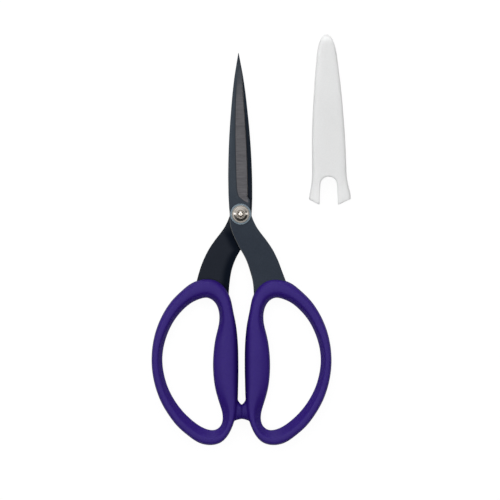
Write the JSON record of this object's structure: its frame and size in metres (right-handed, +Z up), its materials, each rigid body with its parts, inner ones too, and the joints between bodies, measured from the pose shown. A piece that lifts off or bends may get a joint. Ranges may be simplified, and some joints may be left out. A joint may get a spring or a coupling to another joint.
{
  "type": "craft scissors",
  "caption": "Fine-point craft scissors with padded finger bows, an adjustable pivot and a slip-on blade guard lying beside them.",
  "frame": {"origin": "on the pivot axis, in the plane of the pivot screw head's underside, which is also the table plane", "axes": "+Y towards the blade tips, +Z up from the table (towards the pivot nut), +X towards the blade guard"},
  "size_m": [0.0969, 0.1994, 0.0108],
  "materials": {
    "coated_steel": "satin",
    "handle_core": "matte",
    "soft_grip": "matte",
    "nickel": "polished",
    "clear_washer": "gloss",
    "spring_steel": "satin",
    "guard_plastic": "satin"
  },
  "bodies": {
    "rear_half": {"rear_blade": "coated_steel", "rear_handle_core": "handle_core", "rear_handle_grip": "soft_grip", "pivot_nut": "nickel", "front_washer": "clear_washer", "centre_washer": "clear_washer", "rear_washer": "clear_washer", "spring_washer": "spring_steel"},
    "front_half": {"front_blade": "coated_steel", "front_handle_core": "handle_core", "front_handle_grip": "soft_grip"},
    "tension_screw": {"pivot_screw": "nickel"},
    "guard": {"blade_guard": "guard_plastic"}
  },
  "joints": [
    {"name": "blade_pivot", "type": "hinge", "parent": "rear_half", "child": "front_half", "pos_m": [0, 0, 0.0054], "axis": [0, 0, 1], "range_deg": [0, 50]},
    {"name": "tension_turn", "type": "hinge", "parent": "rear_half", "child": "tension_screw", "pos_m": [0, 0, 0], "axis": [0, 0, 1], "range_deg": [-90, 90]},
    {"name": "guard_slide", "type": "slide", "parent": "rear_half", "child": "guard", "axis": [-0.0167, 0.9999, 0], "range_m": [0, 0.08]}
  ]
}
